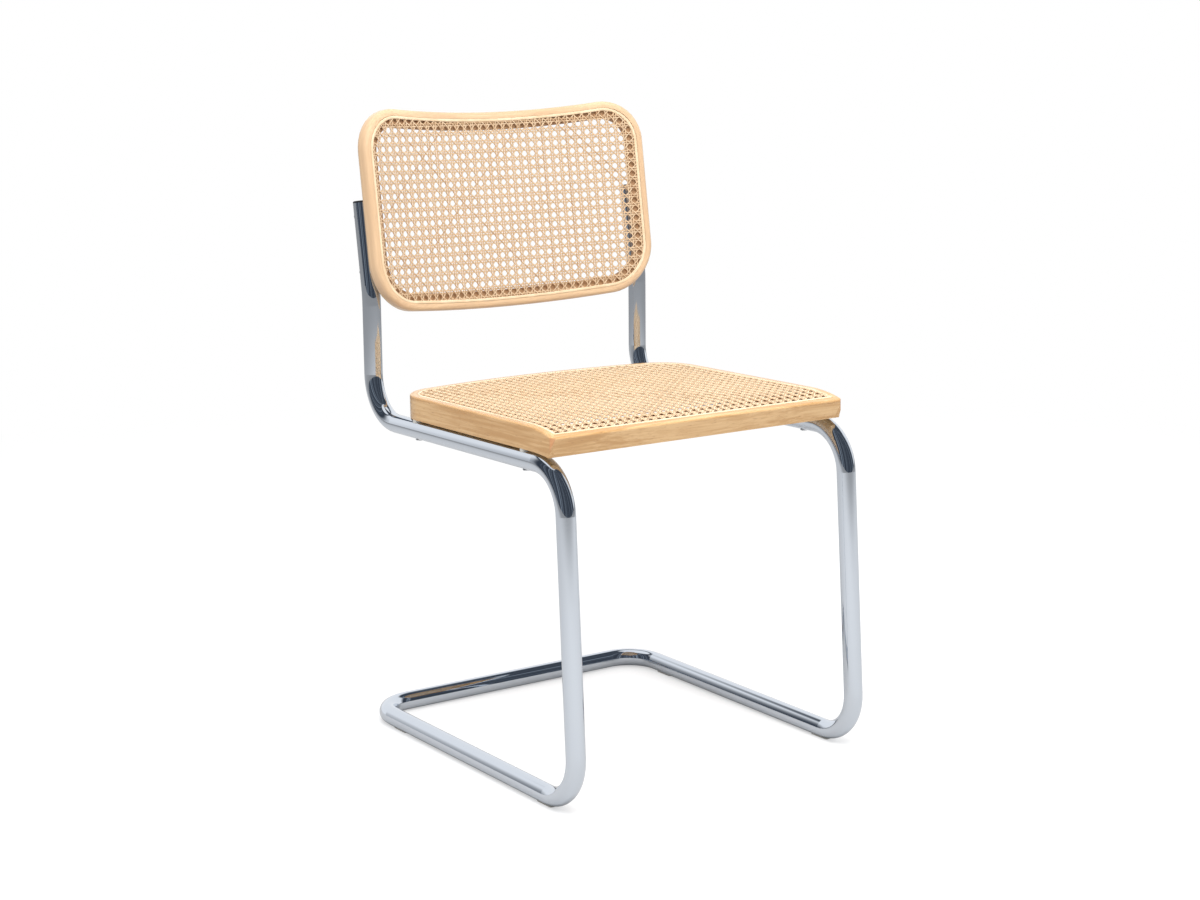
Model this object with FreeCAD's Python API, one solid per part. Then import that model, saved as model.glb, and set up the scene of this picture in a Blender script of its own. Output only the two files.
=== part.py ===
import FreeCAD, Part
import math
import os

# Cantilever side chair: one bent steel tube carries a caned seat and a caned back.
# Millimetres, +Z up, the sitter faces -Y, and the origin is on the floor under the middle of the chair.

# Tube frame
TUBE_D = 25.0
TUBE_WALL = 2.0
FRAME_W = 466.0
FOOT_SPLAY = 2.5
REAR_SPLAY = 5.0
LEG_LEAN = 3.6
SEAT_BEND_R = 60.0
FLOOR_BEND_R = 60.0
REAR_BEND_R = 50.0
BACK_BEND_R = 180.0
CROSS_Y = 503.0
POST_Y = 490.5
KINK_Z = 595.5

# Seat
SEAT_TOP = 477.5
SEAT_TILT = 0.6
SEAT_FRONT_Y = 39.5
SEAT_OVERHANG = 8.0
SEAT_D = 401.0
SEAT_T = 31.0
SEAT_CORNER_R = 62.0
SEAT_REAR_BOW = 15.0
SEAT_RAIL_W = 42.0
FRONT_DROP = 9.0
DROP_LEN = 62.0
FACE_H = 25.0
FACE_SLANT = 8.5
UNDER_LEN = 50.0
FRONT_CHAMFER = 5.0
SEAT_EDGE_R = 2.5

# Back
BACK_LEAN = 8.5
BACK_CURVE_R = 750.0
BACK_OVERHANG = 9.0
BACK_H = 276.0
BACK_T = 19.0
BACK_CORNER_R = 65.0
BACK_TOP_DIP = 13.5
BACK_LOW_DIP = 10.5
BACK_RAIL_W = 24.0
BACK_BEVEL = 4.0
BACK_ABOVE_KINK = 116.0
POST_ABOVE_MID = 9.0

# Cane panels and the splines that hold them
RIM_W = 9.5
GROOVE_W = 4.5
GROOVE_DEPTH = 6.0
CANE_T = 1.6
CANE_REBATE = 1.8
SPLINE_FIT = 0.15
NET_PITCH = 38.1
NET_HOLE = 24.0
NET_MARGIN = 4.0

# Screws, saddle washers, dowels, plugs and glides
SCREW_D = 5.0
SCREW_BORE = 5.4
HEAD_D = 10.0
HEAD_H = 1.6
HEAD_BEVEL = 0.8
SEAT_SCREW_DEPTH = 20.0
BACK_SCREW_DEPTH = 10.0
BORE_BEYOND = 1.0
SEAT_SCREW_IN = 70.0
BACK_SCREW_UP = 54.0
BACK_SCREW_DOWN = 18.0
SADDLE_D = 16.0
SADDLE_T = 1.5
SEAT_GAP = 0.1
DOWEL_D = 6.0
DOWEL_LEN = 28.0
DOWEL_FIT = 0.1
DOWEL_STEP = 10.0
DOWEL_BELOW = 14.0
DOWEL_END = 1.0
PLUG_CAP = 2.5
PLUG_BEVEL = 1.0
PLUG_STEM = 12.0
PLUG_FIT = 0.2
GLIDE_T = 1.0
GLIDE_LEN = 32.0
GLIDE_W = 9.0
GLIDE_CORNER = 3.0
GLIDE_WRAP = 1.0
GLIDE_PIN_D = 5.0
GLIDE_PIN_LEN = 5.0
GLIDE_FRONT = 70.0
GLIDE_REAR = 75.0

V = FreeCAD.Vector
X_AXIS = V(1, 0, 0)
Y_AXIS = V(0, 1, 0)
Z_AXIS = V(0, 0, 1)
TUBE_R = TUBE_D / 2
TUBE_X = (FRAME_W - TUBE_D) / 2
FLOOR_Z = GLIDE_T + TUBE_R
SEAT_W = 2 * (TUBE_X + SEAT_OVERHANG)
BACK_W = 2 * (TUBE_X + BACK_OVERHANG)


def tangent(degrees):
    return math.tan(math.radians(degrees))


def outline_face(edges):
    return Part.Face(Part.Wire(edges))


def polygon_face(points):
    return Part.Face(Part.makePolygon(points + [points[0]]))


def cylinder(radius, start, direction, length):
    return Part.makeCylinder(radius, length, start, direction)


def group(solids):
    return Part.makeCompound(solids)


def placed(shape, placement):
    moved = shape.copy()
    moved.Placement = placement.multiply(shape.Placement)
    return moved


# The seat is drawn lying flat, its top at zero and its front edge at zero, and is then tilted into place.
SEAT_PLACE = FreeCAD.Placement(V(0, SEAT_FRONT_Y, SEAT_TOP), FreeCAD.Rotation(X_AXIS, -SEAT_TILT))
TUBE_UNDER_SEAT = SEAT_T + SADDLE_T + TUBE_R


def seat_tube_z(y):
    # Height of the tube's axis under the seat, which runs parallel to the seat's top.
    reach = (y - SEAT_FRONT_Y) * tangent(SEAT_TILT)
    return SEAT_TOP - reach - TUBE_UNDER_SEAT / math.cos(math.radians(SEAT_TILT))


# The back is drawn upright about its own middle, and is then leaned into place on the posts.
SADDLE_REACH = BACK_T / 2 + SADDLE_T + TUBE_R
POST_TURN = math.degrees(math.asin(TUBE_X / (BACK_CURVE_R + SADDLE_REACH)))
POST_LOCAL_Y = (BACK_CURVE_R + SADDLE_REACH) * math.cos(math.radians(POST_TURN)) - BACK_CURVE_R
BACK_ROTATION = FreeCAD.Rotation(X_AXIS, -BACK_LEAN)
KINK = V(0, POST_Y, KINK_Z)
BACK_MIDDLE = KINK - BACK_ROTATION.multVec(V(0, POST_LOCAL_Y, -BACK_ABOVE_KINK))
BACK_PLACE = FreeCAD.Placement(BACK_MIDDLE, BACK_ROTATION)


def tube_corners():
    # Corners of the left half of the tube's axis, from the post's open end to the cross bar.
    top = BACK_PLACE.multVec(V(-TUBE_X, POST_LOCAL_Y, POST_ABOVE_MID))
    kink = V(-TUBE_X, POST_Y, KINK_Z)
    rear = V(-TUBE_X, POST_Y, seat_tube_z(POST_Y))
    lean = tangent(LEG_LEAN)
    slope = tangent(SEAT_TILT)
    front_y = lean * (seat_tube_z(0) - FLOOR_Z) / (1 + lean * slope)
    front = V(-TUBE_X, front_y, seat_tube_z(front_y))
    foot = V(-TUBE_X - FOOT_SPLAY, 0, FLOOR_Z)
    cross = V(-TUBE_X - REAR_SPLAY, CROSS_Y, FLOOR_Z)
    return [top, kink, rear, front, foot, cross]


def bend_geometry(before, corner, after, radius):
    # Start, end and centre of the tangent arc that rounds one corner, and the angle it turns.
    into = (before - corner).normalize()
    out = (after - corner).normalize()
    half = into.getAngle(out) / 2
    start = corner + into * (radius / math.tan(half))
    end = corner + out * (radius / math.tan(half))
    centre = corner + (into + out).normalize() * (radius / math.sin(half))
    return start, end, centre, 180 - 2 * math.degrees(half)


def tube_section(point, direction):
    circles = [Part.makeCircle(radius, point, direction) for radius in (TUBE_R, TUBE_R - TUBE_WALL)]
    return Part.makeFace([Part.Wire([circle]) for circle in circles], "Part::FaceMakerBullseye")


def bent_tube(corners, radii):
    # Straight runs joined by true bends, one radius for each inner corner, fused into one tube.
    runs = []
    length = 0
    last = corners[0]
    for before, corner, after, radius in zip(corners, corners[1:], corners[2:], radii):
        start, end, centre, turn = bend_geometry(before, corner, after, radius)
        forward = (start - last).normalize()
        axis = (start - centre).cross(forward)
        runs.append(tube_section(last, forward).extrude(start - last))
        runs.append(tube_section(start, forward).revolve(centre, axis, turn))
        length += (start - last).Length + math.radians(turn) * radius
        last = end
    runs.append(tube_section(last, corners[-1] - last).extrude(corners[-1] - last))
    length += (corners[-1] - last).Length
    return runs[0].fuse(runs[1:]).removeSplitter(), length


def mirrored(point):
    return V(-point.x, point.y, point.z)


LEFT = tube_corners()
CORNERS = LEFT + [mirrored(point) for point in reversed(LEFT)]
HALF_RADII = [BACK_BEND_R, SEAT_BEND_R, SEAT_BEND_R, FLOOR_BEND_R, REAR_BEND_R]
BEND_RADII = HALF_RADII + list(reversed(HALF_RADII))


# Places of the fixings, each as a point on the tube's axis and the way its screw points
def seat_screw_places():
    places = []
    for side in (-1, 1):
        for y in (SEAT_SCREW_IN, SEAT_D - SEAT_SCREW_IN):
            axis_point = SEAT_PLACE.multVec(V(side * TUBE_X, y, -TUBE_UNDER_SEAT))
            places.append((axis_point, SEAT_PLACE.Rotation.multVec(Z_AXIS)))
    return places


def back_screw_places():
    places = []
    for side in (-1, 1):
        turn = math.radians(POST_TURN)
        inward = V(-side * math.sin(turn), -math.cos(turn), 0)
        for z in (BACK_SCREW_UP - BACK_H / 2, POST_ABOVE_MID - BACK_SCREW_DOWN):
            axis_point = BACK_PLACE.multVec(V(side * TUBE_X, POST_LOCAL_Y, z))
            places.append((axis_point, BACK_PLACE.Rotation.multVec(inward)))
    return places


def glide_places():
    # Under the two runners, each turned to the runner's own line.
    places = []
    for side in (-1, 1):
        foot = V(side * (TUBE_X + FOOT_SPLAY), 0, FLOOR_Z)
        runner = V(side * (REAR_SPLAY - FOOT_SPLAY), CROSS_Y, 0).normalize()
        for y in (GLIDE_FRONT, CROSS_Y - GLIDE_REAR):
            places.append(FreeCAD.Placement(foot + runner * y, FreeCAD.Rotation(Y_AXIS, runner)))
    return places


def tube_frame():
    tube, length = bent_tube(CORNERS, BEND_RADII)
    section = math.pi * (TUBE_R ** 2 - (TUBE_R - TUBE_WALL) ** 2)
    print("tube length", round(length), "volume", round(tube.Volume), "by section", round(section * length))
    bores = []
    for point, direction in seat_screw_places() + back_screw_places():
        bores.append(cylinder(SCREW_BORE / 2, point - direction * TUBE_D, direction, 2 * TUBE_D))
    for place in glide_places():
        bores.append(cylinder(GLIDE_PIN_D / 2 + PLUG_FIT, place.Base, -Z_AXIS, TUBE_D))
    return tube.cut(bores)


def post_plugs():
    plugs = []
    for side in (-1, 1):
        end = BACK_PLACE.multVec(V(side * TUBE_X, POST_LOCAL_Y, POST_ABOVE_MID))
        up = BACK_PLACE.Rotation.multVec(Z_AXIS)
        cap = cylinder(TUBE_R, end, up, PLUG_CAP)
        rim = max(cap.Edges, key=lambda edge: edge.CenterOfMass.dot(up))
        cap = cap.makeChamfer(PLUG_BEVEL, [rim])
        stem = cylinder(TUBE_R - TUBE_WALL - PLUG_FIT, end, -up, PLUG_STEM)
        plugs.append(cap.fuse(stem).removeSplitter())
    return group(plugs)


def screws(places, depth, tube_to_wood):
    # Low headed screws through the tube and its saddle washer into the wood.
    made = []
    for point, direction in places:
        seat = point - direction * TUBE_R
        head = cylinder(HEAD_D / 2, seat, -direction, HEAD_H)
        rim = max(head.Edges, key=lambda edge: edge.CenterOfMass.dot(-direction))
        head = head.makeChamfer(HEAD_BEVEL, [rim])
        shank = cylinder(SCREW_D / 2, seat, direction, TUBE_D + tube_to_wood + depth)
        made.append(head.fuse(shank))
    return group(made)


def saddles(places, thickness, along):
    # Washers hollowed to the tube on one side and flat to the wood on the other.
    made = []
    for point, direction in places:
        disc = cylinder(SADDLE_D / 2, point, direction, TUBE_R + thickness)
        tube = cylinder(TUBE_R + SEAT_GAP, point - along * SADDLE_D, along, 2 * SADDLE_D)
        bore = cylinder(SCREW_BORE / 2, point, direction, TUBE_D)
        made.append(disc.cut([tube, bore]))
    return group(made)


def floor_glides():
    # Thin pads pinned into the tube, hollowed to it on top and flat on the floor.
    made = []
    for place in glide_places():
        corner = V(-GLIDE_W / 2, -GLIDE_LEN / 2, -FLOOR_Z)
        block = Part.makeBox(GLIDE_W, GLIDE_LEN, GLIDE_T + GLIDE_WRAP, corner)
        uprights = [edge for edge in block.Edges if edge.BoundBox.ZLength > GLIDE_T]
        block = block.makeFillet(GLIDE_CORNER, uprights)
        tube = cylinder(TUBE_R + SEAT_GAP, -Y_AXIS * GLIDE_LEN, Y_AXIS, 2 * GLIDE_LEN)
        pin = cylinder(GLIDE_PIN_D / 2, V(0, 0, GLIDE_T / 2 - FLOOR_Z), Z_AXIS, GLIDE_T / 2 + GLIDE_PIN_LEN)
        made.append(placed(block.cut(tube).fuse(pin), place))
    return group(made)


# Seat
SEAT_HALF = SEAT_W / 2
REAR_ARC_R = ((SEAT_HALF - SEAT_CORNER_R) ** 2 + SEAT_REAR_BOW ** 2) / (2 * SEAT_REAR_BOW)


def seat_outline(side_inset, front_inset):
    # Square at the front, rounded at the rear corners, and slightly bowed along the rear.
    half = SEAT_HALF - side_inset
    corner_r = SEAT_CORNER_R - side_inset
    rear_r = REAR_ARC_R - side_inset
    rear_y = SEAT_D - side_inset
    rear_centre = V(0, rear_y - rear_r, 0)
    corner_x = half - corner_r
    corner_y = rear_centre.y + math.sqrt((rear_r - corner_r) ** 2 - corner_x ** 2)
    corner_centre = V(corner_x, corner_y, 0)
    tangent_point = corner_centre + (corner_centre - rear_centre).normalize() * corner_r
    bisector = ((tangent_point - corner_centre).normalize() + X_AXIS).normalize()
    corner_middle = corner_centre + bisector * corner_r
    front = V(half, front_inset, 0)
    side_end = V(half, corner_y, 0)
    return outline_face([
        Part.LineSegment(mirrored(front), front).toShape(),
        Part.LineSegment(front, side_end).toShape(),
        Part.Arc(side_end, corner_middle, tangent_point).toShape(),
        Part.Arc(tangent_point, V(0, rear_y, 0), mirrored(tangent_point)).toShape(),
        Part.Arc(mirrored(tangent_point), mirrored(corner_middle), mirrored(side_end)).toShape(),
        Part.LineSegment(mirrored(side_end), mirrored(front)).toShape(),
    ])


def seat_column(side_inset, front_inset):
    column = seat_outline(side_inset, front_inset)
    column.translate(V(0, 0, -SEAT_T * 2))
    return column.extrude(V(0, 0, SEAT_T * 3))


DROP_R = (DROP_LEN ** 2 + FRONT_DROP ** 2) / (2 * FRONT_DROP)


def drop_arc(depth):
    # The curve of the seat's top down to its front edge, at a depth below the surface.
    radius = DROP_R - depth
    centre = V(-SEAT_W, DROP_LEN, -DROP_R)
    spread = math.asin(DROP_LEN / DROP_R)
    turns = (0, spread / 2, spread)
    return [centre + V(0, -math.sin(turn) * radius, math.cos(turn) * radius) for turn in turns]


def seat_layer(upper, lower):
    # The part of the seat between two depths below its top surface.
    top_rear, top_middle, top_front = drop_arc(upper)
    low_rear, low_middle, low_front = drop_arc(lower)
    rear_top = V(-SEAT_W, SEAT_D + SEAT_W, -upper)
    rear_low = V(-SEAT_W, SEAT_D + SEAT_W, -lower)
    face = outline_face([
        Part.LineSegment(rear_top, top_rear).toShape(),
        Part.Arc(top_rear, top_middle, top_front).toShape(),
        Part.LineSegment(top_front, low_front).toShape(),
        Part.Arc(low_front, low_middle, low_rear).toShape(),
        Part.LineSegment(low_rear, rear_low).toShape(),
        Part.LineSegment(rear_low, rear_top).toShape(),
    ])
    return face.extrude(V(2 * SEAT_W, 0, 0))


def seat_blank():
    # Side view of the whole seat frame: flat behind, rolled over at the front, with a face that slants back.
    top_rear, top_middle, top_front = drop_arc(0)
    chin = V(-SEAT_W, FACE_SLANT, -FRONT_DROP - FACE_H)
    under = V(-SEAT_W, UNDER_LEN, -SEAT_T)
    rise = chin.z - under.z
    run = UNDER_LEN - FACE_SLANT
    under_middle = V(-SEAT_W, FACE_SLANT + run / 2, under.z + rise / 4)
    rear_top = V(-SEAT_W, SEAT_D + SEAT_W, 0)
    rear_low = V(-SEAT_W, SEAT_D + SEAT_W, -SEAT_T)
    face = outline_face([
        Part.LineSegment(rear_top, top_rear).toShape(),
        Part.Arc(top_rear, top_middle, top_front).toShape(),
        Part.LineSegment(top_front, chin).toShape(),
        Part.Arc(chin, under_middle, under).toShape(),
        Part.LineSegment(under, rear_low).toShape(),
        Part.LineSegment(rear_low, rear_top).toShape(),
    ])
    blank = face.extrude(V(2 * SEAT_W, 0, 0))
    return blank.common(seat_column(0, -SEAT_W))


def corner_chamfers():
    # Upright bevels on the two front corners.
    cuts = []
    for side in (-1, 1):
        corner = V(side * SEAT_HALF, 0, -SEAT_T * 2)
        along = V(side * FRONT_CHAMFER, FRONT_CHAMFER, 0)
        start = corner - V(side * FRONT_CHAMFER, 0, 0)
        outward = V(side * FRONT_CHAMFER, -FRONT_CHAMFER, 0)
        end = start + along * 2
        face = polygon_face([start - along, end, end + outward, start - along + outward])
        cuts.append(face.extrude(V(0, 0, SEAT_T * 3)))
    return cuts


def mitre_block():
    # The space of the front rail: a wedge bounded by a mitre at each front corner.
    reach = SEAT_RAIL_W * 1.5
    points = [
        V(-SEAT_HALF - reach, -reach, -SEAT_T * 2),
        V(SEAT_HALF + reach, -reach, -SEAT_T * 2),
        V(SEAT_HALF - reach, reach, -SEAT_T * 2),
        V(-SEAT_HALF + reach, reach, -SEAT_T * 2),
    ]
    return polygon_face(points).extrude(V(0, 0, SEAT_T * 3))


def dowel_lines(radius, length):
    # Two dowels, one above the other, square across each mitre.
    made = []
    middle = (RIM_W + GROOVE_W + SEAT_RAIL_W) / 2
    for side in (-1, 1):
        across = V(side, 1, 0).normalize()
        for z in (-DOWEL_BELOW, -DOWEL_BELOW - DOWEL_STEP):
            point = V(side * (SEAT_HALF - middle), middle, z)
            made.append(cylinder(radius, point - across * (length / 2), across, length))
    return made


def pilot_bores(places, depth, reach):
    # Blind holes in the wood for the screws, a little deeper and wider than the screws.
    deep = reach + depth + BORE_BEYOND
    return [cylinder(SCREW_BORE / 2, point, direction, deep) for point, direction in places]


def outer_top_edges(shape):
    # The upper edges of the seat's outside, which are eased all round.
    edges = []
    for edge in shape.Edges:
        box = edge.BoundBox
        middle = edge.valueAt((edge.FirstParameter + edge.LastParameter) / 2)
        outside = not seat_column(RIM_W / 2, RIM_W / 2).isInside(middle, 0.01, True)
        if outside and box.ZMin > -FRONT_DROP - 0.01:
            edges.append(edge)
    return edges


def seat_wood():
    blank = seat_blank().cut(corner_chamfers())
    blank = blank.makeFillet(SEAT_EDGE_R, outer_top_edges(blank))
    window = seat_column(SEAT_RAIL_W, SEAT_RAIL_W)
    groove_in = RIM_W + GROOVE_W
    bed = seat_layer(-SEAT_T, CANE_REBATE).common(seat_column(groove_in, groove_in))
    ring = seat_column(RIM_W, RIM_W).cut(seat_column(groove_in, groove_in))
    groove = seat_layer(-SEAT_T, GROOVE_DEPTH).common(ring)
    wood = blank.cut([window, bed, groove] + dowel_lines(DOWEL_D / 2 + DOWEL_FIT, DOWEL_LEN + 2 * DOWEL_END))
    return wood


def seat_frame_pieces():
    wood = seat_wood()
    wedge = mitre_block()
    bores = pilot_bores(seat_screw_places(), SEAT_SCREW_DEPTH, TUBE_R + SADDLE_T)
    bent = placed(wood.cut(wedge), SEAT_PLACE).cut(bores)
    front = placed(wood.common(wedge), SEAT_PLACE)
    return bent, front


def splines():
    # The reed that wedges the cane into its groove: one bent round the sides and rear, one straight in front.
    outer = RIM_W + SPLINE_FIT
    inner = RIM_W + GROOVE_W - SPLINE_FIT
    ring = seat_column(outer, outer).cut(seat_column(inner, inner))
    reed = seat_layer(0, GROOVE_DEPTH - SPLINE_FIT).common(ring)
    wedge = mitre_block()
    return placed(reed.cut(wedge), SEAT_PLACE), placed(reed.common(wedge), SEAT_PLACE)


def octagon(x, y, size):
    half = size / 2
    corner = half * tangent(22.5)
    steps = [(half, corner), (corner, half), (-corner, half), (-half, corner),
             (-half, -corner), (-corner, -half), (corner, -half), (half, -corner)]
    points = [V(x + a, y + b, 0) for a, b in steps]
    return Part.makePolygon(points + [points[0]])


def net_face(outline, fits, middle_y):
    # One face with the octagonal gaps of the weave, as many as fit the open window of the frame.
    box = outline.BoundBox
    columns = int(box.XMax / NET_PITCH) + 1
    rows = int(box.YLength / NET_PITCH) + 1
    reach = NET_HOLE / 2
    holes = []
    for column in range(-columns, columns + 1):
        for row in range(-rows, rows + 1):
            x = (column + 0.5) * NET_PITCH
            y = middle_y + (row + 0.5) * NET_PITCH
            if all(fits(V(x + a, y + b, 0)) for a in (-reach, reach) for b in (-reach, reach)):
                holes.append(octagon(x, y, NET_HOLE))
    return Part.makeFace([outline.OuterWire] + holes, "Part::FaceMakerBullseye"), len(holes)


def seat_cane():
    edge = RIM_W + GROOVE_W + SPLINE_FIT
    window = seat_outline(SEAT_RAIL_W + NET_MARGIN, SEAT_RAIL_W + NET_MARGIN)

    def fits(point):
        return window.isInside(point, 0.001, True)

    face, gaps = net_face(seat_outline(edge, edge), fits, SEAT_D / 2)
    face.translate(V(0, 0, -SEAT_T))
    column = face.extrude(V(0, 0, SEAT_T * 2))
    print("seat net gaps", gaps)
    return placed(seat_layer(CANE_REBATE - CANE_T, CANE_REBATE).common(column), SEAT_PLACE)


# Back
def back_layer(front_depth, rear_depth):
    # Part of a wall bent about an upright axis in front of the sitter, between two depths behind its face.
    face_r = BACK_CURVE_R - BACK_T / 2
    inner = face_r + front_depth
    outer = face_r + rear_depth
    centre = V(0, -BACK_CURVE_R, -BACK_H)
    tall = 2 * BACK_H
    wall = cylinder(outer, centre, Z_AXIS, tall).cut(cylinder(inner, centre, Z_AXIS, tall))
    front_half = Part.makeBox(2 * BACK_W, BACK_W, tall, V(-BACK_W, -BACK_W / 2, -BACK_H))
    return wall.common(front_half)


def bow_radius(dip):
    half = BACK_W / 2
    return (half ** 2 + dip ** 2) / (2 * dip)


def back_band(inset):
    # Front view of the back's height: a top and bottom bowed about centres above it, wider than the back.
    top_mid = BACK_H / 2 - BACK_TOP_DIP - inset
    low_mid = -BACK_H / 2 - BACK_LOW_DIP + inset
    top_r = bow_radius(BACK_TOP_DIP) + inset
    low_r = bow_radius(BACK_LOW_DIP) - inset
    top = top_mid + top_r - math.sqrt(top_r ** 2 - BACK_W ** 2)
    low = low_mid + low_r - math.sqrt(low_r ** 2 - BACK_W ** 2)
    points = [V(x, -BACK_W, z) for x, z in ((-BACK_W, top), (BACK_W, top), (BACK_W, low), (-BACK_W, low))]
    face = outline_face([
        Part.Arc(points[0], V(0, -BACK_W, top_mid), points[1]).toShape(),
        Part.LineSegment(points[1], points[2]).toShape(),
        Part.Arc(points[2], V(0, -BACK_W, low_mid), points[3]).toShape(),
        Part.LineSegment(points[3], points[0]).toShape(),
    ])
    return face.extrude(V(0, 2 * BACK_W, 0))


def back_column(inset):
    # The back's outline carried through its thickness, with sides square to its curve and rounded corners.
    turn = math.asin(BACK_W / 2 / BACK_CURVE_R)
    near = BACK_CURVE_R - BACK_W / 3
    far = BACK_CURVE_R + BACK_W / 3
    corners = []
    for side, reach in ((-1, near), (1, near), (1, far), (-1, far)):
        x = reach * math.sin(turn) - inset * math.cos(turn)
        y = reach * math.cos(turn) + inset * math.sin(turn) - BACK_CURVE_R
        corners.append(V(side * x, y, -BACK_H))
    column = polygon_face(corners).extrude(V(0, 0, 2 * BACK_H)).common(back_band(inset))
    ribs = []
    for edge in column.Edges:
        box = edge.BoundBox
        if box.YLength > box.XLength + box.ZLength:
            ribs.append(edge)
    return column.makeFillet(BACK_CORNER_R - inset, ribs)


def back_frame():
    blank = back_layer(0, BACK_T).common(back_column(0))
    rims = []
    for edge in blank.Edges:
        middle = edge.valueAt((edge.FirstParameter + edge.LastParameter) / 2)
        radius = math.hypot(middle.x, middle.y + BACK_CURVE_R)
        if abs(abs(radius - BACK_CURVE_R) - BACK_T / 2) < 0.01 and edge.Length > BACK_T:
            rims.append(edge)
    blank = blank.makeChamfer(BACK_BEVEL, rims)
    groove_in = RIM_W + GROOVE_W
    window = back_column(BACK_RAIL_W)
    bed = back_layer(-BACK_T, CANE_REBATE).common(back_column(groove_in))
    ring = back_column(RIM_W).cut(back_column(groove_in))
    groove = back_layer(-BACK_T, GROOVE_DEPTH).common(ring)
    frame = placed(blank.cut([window, bed, groove]), BACK_PLACE)
    return frame.cut(pilot_bores(back_screw_places(), BACK_SCREW_DEPTH, TUBE_R + SADDLE_T))


def back_spline():
    ring = back_column(RIM_W + SPLINE_FIT).cut(back_column(RIM_W + GROOVE_W - SPLINE_FIT))
    return placed(back_layer(0, GROOVE_DEPTH - SPLINE_FIT).common(ring), BACK_PLACE)


def back_cane():
    # The net is laid out in plan like the seat's, stood upright and bent by cutting it from the bent layer.
    window = back_column(BACK_RAIL_W + NET_MARGIN)
    tall = BACK_H + 2 * (BACK_TOP_DIP + BACK_LOW_DIP)
    sheet = Part.makePlane(BACK_W, tall, V(-BACK_W / 2, -tall / 2, 0))

    def fits(point):
        on_wall = V(point.x, math.sqrt(BACK_CURVE_R ** 2 - point.x ** 2) - BACK_CURVE_R, point.y)
        return window.isInside(on_wall, 0.001, True)

    face, gaps = net_face(sheet, fits, -(BACK_TOP_DIP + BACK_LOW_DIP) / 2)
    print("back net gaps", gaps)
    upright = placed(face, FreeCAD.Placement(V(0, -BACK_W / 2, 0), FreeCAD.Rotation(X_AXIS, 90)))
    edge = back_column(RIM_W + GROOVE_W + SPLINE_FIT)
    column = upright.extrude(V(0, BACK_W, 0)).common(edge)
    return placed(back_layer(CANE_REBATE - CANE_T, CANE_REBATE).common(column), BACK_PLACE)


def build():
    bent_rail, front_rail = seat_frame_pieces()
    side_spline, front_spline = splines()
    seat_line = SEAT_PLACE.Rotation.multVec(Y_AXIS)
    post_line = BACK_PLACE.Rotation.multVec(Z_AXIS)
    nodes = {
        "tube_frame": tube_frame(),
        "post_plugs": post_plugs(),
        "floor_glides": floor_glides(),
        "seat_bent_rail": bent_rail,
        "seat_front_rail": front_rail,
        "seat_dowels": placed(group(dowel_lines(DOWEL_D / 2, DOWEL_LEN)), SEAT_PLACE),
        "seat_cane": seat_cane(),
        "seat_spline_bent": side_spline,
        "seat_spline_front": front_spline,
        "seat_saddles": saddles(seat_screw_places(), SADDLE_T, seat_line),
        "seat_screws": screws(seat_screw_places(), SEAT_SCREW_DEPTH, SADDLE_T),
        "back_frame": back_frame(),
        "back_cane": back_cane(),
        "back_spline": back_spline(),
        "back_saddles": saddles(back_screw_places(), SADDLE_T - SEAT_GAP, post_line),
        "back_screws": screws(back_screw_places(), BACK_SCREW_DEPTH, SADDLE_T),
    }
    return nodes


def main():
    os.makedirs("parts", exist_ok=True)
    nodes = build()
    boxes = [shape.optimalBoundingBox(False, False) for shape in nodes.values()]
    front = min(box.YMin for box in boxes)
    rear = max(box.YMax for box in boxes)
    for name, shape in nodes.items():
        shape.translate(V(0, -(front + rear) / 2, 0))
        shape.exportStep("parts/" + name + ".step")
        box = shape.optimalBoundingBox(False, False)
        corners = [round(v, 1) for v in (box.XMin, box.XMax, box.YMin, box.YMax, box.ZMin, box.ZMax)]
        print(name, len(shape.Solids), shape.isValid(), round(shape.Volume), corners)
    print("centre shift", -(front + rear) / 2)


main()
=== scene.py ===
import bmesh
import bpy
import math
import random
from collections import namedtuple
from mathutils import Matrix, Vector


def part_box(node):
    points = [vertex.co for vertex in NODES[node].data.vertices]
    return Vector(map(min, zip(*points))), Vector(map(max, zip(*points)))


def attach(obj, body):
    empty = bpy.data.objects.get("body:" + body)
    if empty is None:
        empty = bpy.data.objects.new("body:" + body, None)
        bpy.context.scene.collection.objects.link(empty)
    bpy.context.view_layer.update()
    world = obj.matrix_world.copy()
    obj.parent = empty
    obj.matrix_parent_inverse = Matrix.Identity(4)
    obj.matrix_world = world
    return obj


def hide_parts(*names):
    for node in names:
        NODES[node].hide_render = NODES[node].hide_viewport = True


# A cantilever side chair: chromed tube, lacquered beech frames and woven cane, on a pale studio floor.
# Metres, +Z up, the sitter faces -Y, as in the frame.
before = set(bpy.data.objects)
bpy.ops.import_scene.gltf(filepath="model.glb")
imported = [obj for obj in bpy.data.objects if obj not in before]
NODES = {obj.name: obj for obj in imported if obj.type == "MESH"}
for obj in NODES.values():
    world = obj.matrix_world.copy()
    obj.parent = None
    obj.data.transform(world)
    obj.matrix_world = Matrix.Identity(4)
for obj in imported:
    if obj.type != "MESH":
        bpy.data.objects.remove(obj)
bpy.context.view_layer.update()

# Camera, fitted to the photograph: a 66 mm lens a little above the back, in front and to the sitter's right
LENS_MM = 66.34
SENSOR_MM = 36.0
SHIFT_X = 0.0045
CAMERA_TURN = -0.602
CAMERA_DOWN = 0.1955
CAMERA_ROLL = -0.0080
CAMERA_PLACE = Vector((-1.65493, -2.39367, 0.96810))

# Seat, as the solids have it
SEAT_TOP = 0.4775
SEAT_FRONT = -0.22787
SEAT_TILT = math.radians(0.6)
SEAT_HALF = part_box("seat_bent_rail")[1].x
SEAT_D = 0.401
SEAT_CORNER_R = 0.062
SEAT_BOW = 0.015
DROP_LEN = 0.062
FRONT_DROP = 0.009

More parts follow.
